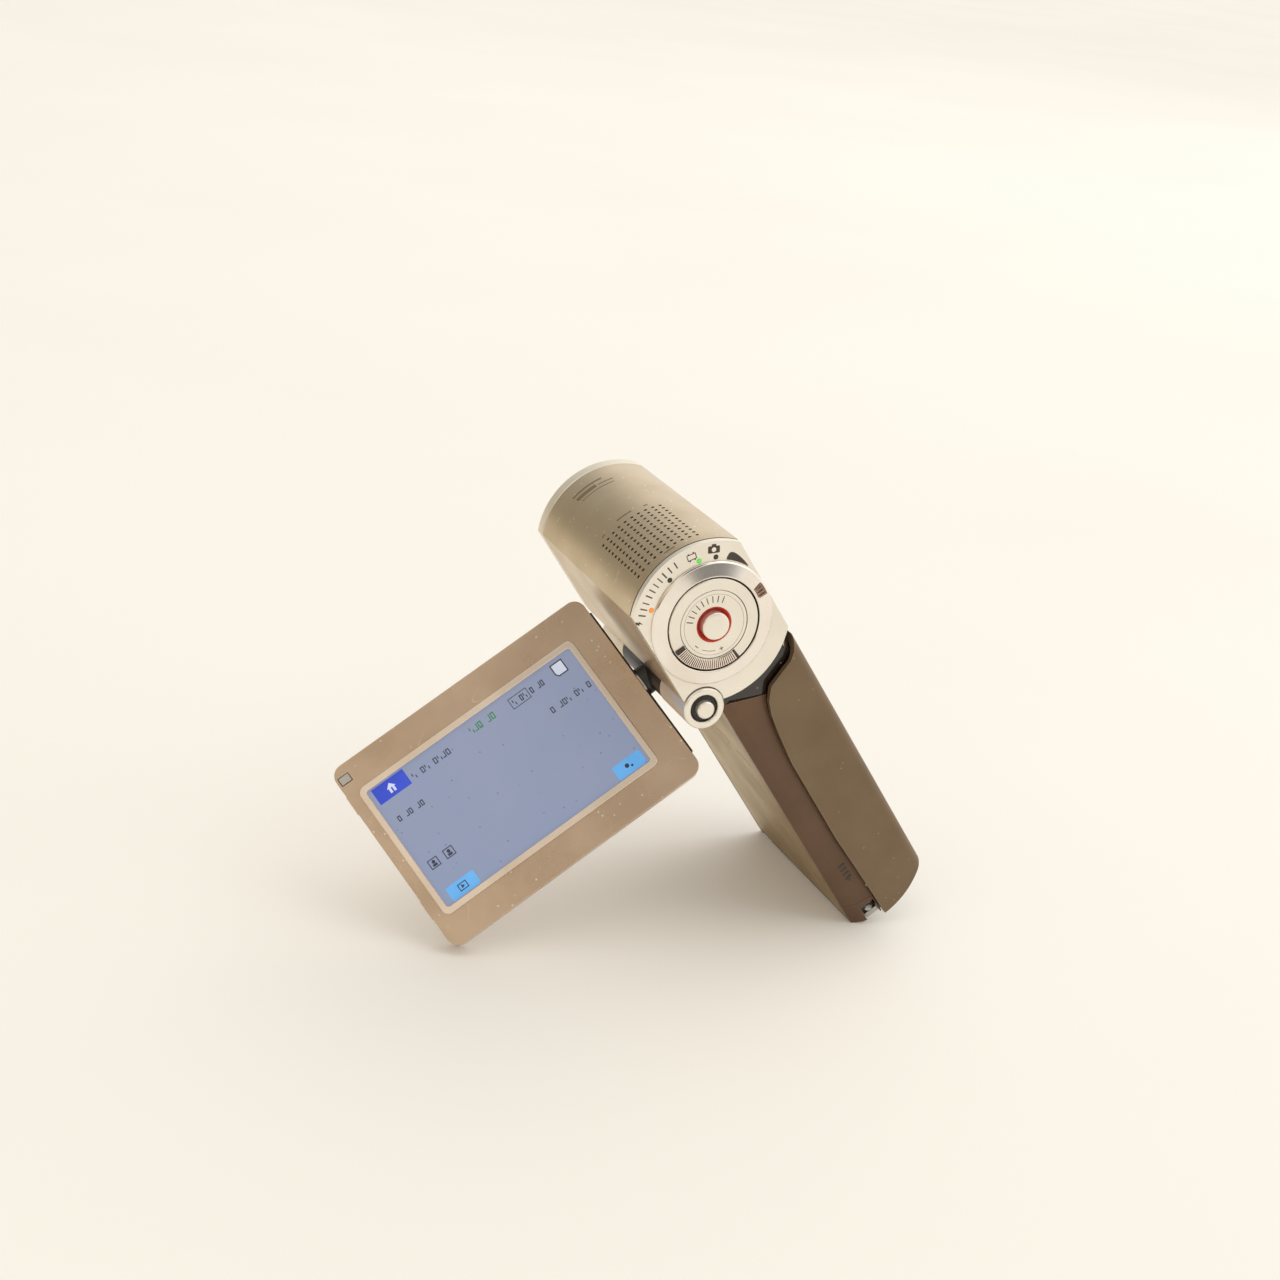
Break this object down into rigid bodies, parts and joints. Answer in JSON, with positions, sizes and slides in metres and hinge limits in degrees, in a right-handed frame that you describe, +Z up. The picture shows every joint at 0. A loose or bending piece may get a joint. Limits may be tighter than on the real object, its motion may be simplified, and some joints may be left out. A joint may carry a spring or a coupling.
{
  "type": "camcorder",
  "caption": "Slim upright pocket camcorder with a rear dial, fold-out tilting screen, sliding lens cover and battery door, standing propped on its open screen.",
  "frame": {"origin": "centre of the bounding box in X and Y, on the surface the camcorder stands on", "axes": "+Z up from the surface, +Y along the lens axis towards the scene, +X to the user's right; the body leans about Y towards -X onto its open screen"},
  "size_m": [0.1404, 0.065, 0.1032],
  "materials": {
    "barrel_metal": "satin champagne-titanium paint over metal",
    "cap_cream": "pearl cream, satin",
    "plate_cream": "cream-champagne anodised, fine satin",
    "ring_metal": "polished warm metal",
    "black_plastic": "moulded black",
    "optic_glass": "coated lens glass",
    "board": "circuit board",
    "steel": "plain steel",
    "tab_brown": "ribbed brown",
    "red_light": "translucent red",
    "green_light": "lit green light pipe",
    "amber_light": "lit amber light pipe",
    "dark_mark": "dark lens dot",
    "panel_bronze": "bronze-champagne satin paint",
    "bezel_bright": "bright satin rim",
    "screen_glass": "display behind a touch panel, lit",
    "grip_taupe": "fine-textured taupe soft paint",
    "strip_dark": "darker bronze-brown satin",
    "plate_gold": "gold-sand satin paint",
    "neck_dark": "dark brown gloss",
    "battery_grey": "battery case",
    "card_blue": "card case",
    "clear_window": "ribbed clear window"
  },
  "bodies": {
    "camcorder": {"barrel_shell": "barrel_metal", "front_cap": "cap_cream", "cap_gasket": "black_plastic", "lens_bezel": "black_plastic", "cover_guide": "black_plastic", "lens_barrel": "black_plastic", "front_lens": "optic_glass", "sensor_board": "board", "back_plate": "plate_cream", "hub_disc": "plate_cream", "light_ring": "red_light", "dial_base": "black_plastic", "control_board": "board", "movie_light": "green_light", "charge_light": "amber_light", "mode_marks": "dark_mark", "mic_board": "board", "photo_bezel": "plate_cream", "hinge_pin": "steel", "front_knuckle": "cap_cream", "hinge_cradle": "black_plastic", "right_cover": "grip_taupe", "rear_strip": "strip_dark", "front_strip": "grip_taupe", "left_plate": "plate_gold", "neck_trim": "neck_dark", "corner_trim": "steel", "chassis": "steel", "battery": "battery_grey", "memory_card": "card_blue", "card_slot": "steel", "main_board": "board", "speaker": "black_plastic", "flash_window": "clear_window", "dock_connector": "black_plastic", "strap_lug": "steel", "cover_pin": "steel"},
    "lens_cover_top": {"upper_lens_cover": "black_plastic"},
    "lens_cover_bottom": {"lower_lens_cover": "black_plastic"},
    "zoom_group": {"zoom_carriage": "black_plastic"},
    "mode_dial": {"mode_ring": "ring_metal", "mode_ring_clip": "steel", "thumb_tab": "tab_brown"},
    "zoom_lever": {"zoom_ring": "plate_cream"},
    "start_key": {"start_button": "plate_cream"},
    "photo_key": {"photo_button": "plate_cream"},
    "hinge_knuckle": {"hinge_block": "black_plastic"},
    "screen": {"tilt_shaft": "steel", "hinge_bracket": "steel", "panel_frame": "panel_bronze", "screen_bezel": "bezel_bright", "screen_glass": "screen_glass", "display_module": "steel", "panel_back": "panel_bronze", "panel_edge_strip": "black_plastic", "panel_catch": "steel", "panel_screws": "steel"},
    "base_door": {"base_cover": "strip_dark"},
    "forward_key": {"forward_side_button": "plate_gold"},
    "rear_key": {"rear_side_button": "plate_gold"}
  },
  "joints": [
    {"name": "lens_cover_close", "type": "slide", "parent": "camcorder", "child": "lens_cover_top", "axis": [0.582, 0, -0.8132], "range_m": [0, 0.0075]},
    {"name": "lower_cover_follow", "type": "slide", "parent": "camcorder", "child": "lens_cover_bottom", "axis": [-0.582, 0, 0.8132], "range_m": [0, 0.0075]},
    {"name": "zoom_travel", "type": "slide", "parent": "camcorder", "child": "zoom_group", "axis": [0, 1, 0], "range_m": [-0.006, 0.005]},
    {"name": "mode_turn", "type": "hinge", "parent": "camcorder", "child": "mode_dial", "pos_m": [0.00489, -0.0299, 0.08336], "axis": [0, -1, 0], "range_deg": [-25, 20]},
    {"name": "zoom_turn", "type": "hinge", "parent": "camcorder", "child": "zoom_lever", "pos_m": [0.00489, -0.0299, 0.08336], "axis": [0, -1, 0], "range_deg": [-14, 14], "stiffness_Nm_per_rad": 0.006},
    {"name": "start_press", "type": "slide", "parent": "camcorder", "child": "start_key", "axis": [0, 1, 0], "range_m": [0, 0.0007], "stiffness_N_per_m": 300},
    {"name": "photo_press", "type": "slide", "parent": "camcorder", "child": "photo_key", "axis": [0, 1, 0], "range_m": [0, 0.0007], "stiffness_N_per_m": 300},
    {"name": "screen_fold", "type": "hinge", "parent": "camcorder", "child": "hinge_knuckle", "pos_m": [0.00536, -0.0053, 0.06242], "axis": [0, -1, 0], "range_deg": [0, 20]},
    {"name": "screen_tilt", "type": "hinge", "parent": "hinge_knuckle", "child": "screen", "pos_m": [0.00007, -0.0053, 0.05864], "axis": [-0.8132, 0, -0.582], "range_deg": [-215, 52]},
    {"name": "door_swing", "type": "hinge", "parent": "camcorder", "child": "base_door", "pos_m": [0.06035, 0.0187, 0.00586], "axis": [0.8132, 0, 0.582], "range_deg": [0, 95]},
    {"name": "forward_key_press", "type": "slide", "parent": "camcorder", "child": "forward_key", "axis": [0.8132, 0, 0.582], "range_m": [0, 0.0004], "stiffness_N_per_m": 300},
    {"name": "rear_key_press", "type": "slide", "parent": "camcorder", "child": "rear_key", "axis": [0.8132, 0, 0.582], "range_m": [0, 0.0004], "stiffness_N_per_m": 300}
  ],
  "couplings": [
    {"joint": "lower_cover_follow", "follows": "lens_cover_close", "ratio": 1}
  ]
}
